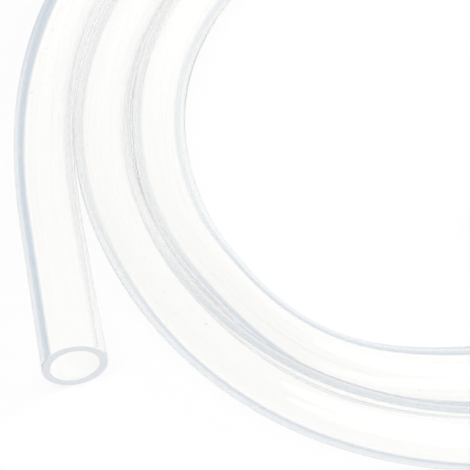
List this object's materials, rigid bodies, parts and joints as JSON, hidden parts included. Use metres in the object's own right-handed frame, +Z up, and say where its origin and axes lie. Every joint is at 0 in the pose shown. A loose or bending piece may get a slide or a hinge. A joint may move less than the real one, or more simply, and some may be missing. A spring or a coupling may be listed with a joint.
{
  "type": "silicone tubing coil",
  "caption": "Length of clear thin-walled silicone tube, cut square at both ends and wound into a loose flat coil.",
  "frame": {"origin": "on the surface the coil lies on, under the middle of its bounding box", "axes": "+Z up, square to the flat coil; the outer end's cut faces -Y, at the front left; the tube winds clockwise and inwards as seen from +Z"},
  "size_m": [0.2064, 0.1992, 0.0127],
  "materials": {
    "silicone": "clear and slightly hazy, smooth and glossy"
  },
  "bodies": {
    "root": {"tubing": "silicone"}
  },
  "joints": []
}
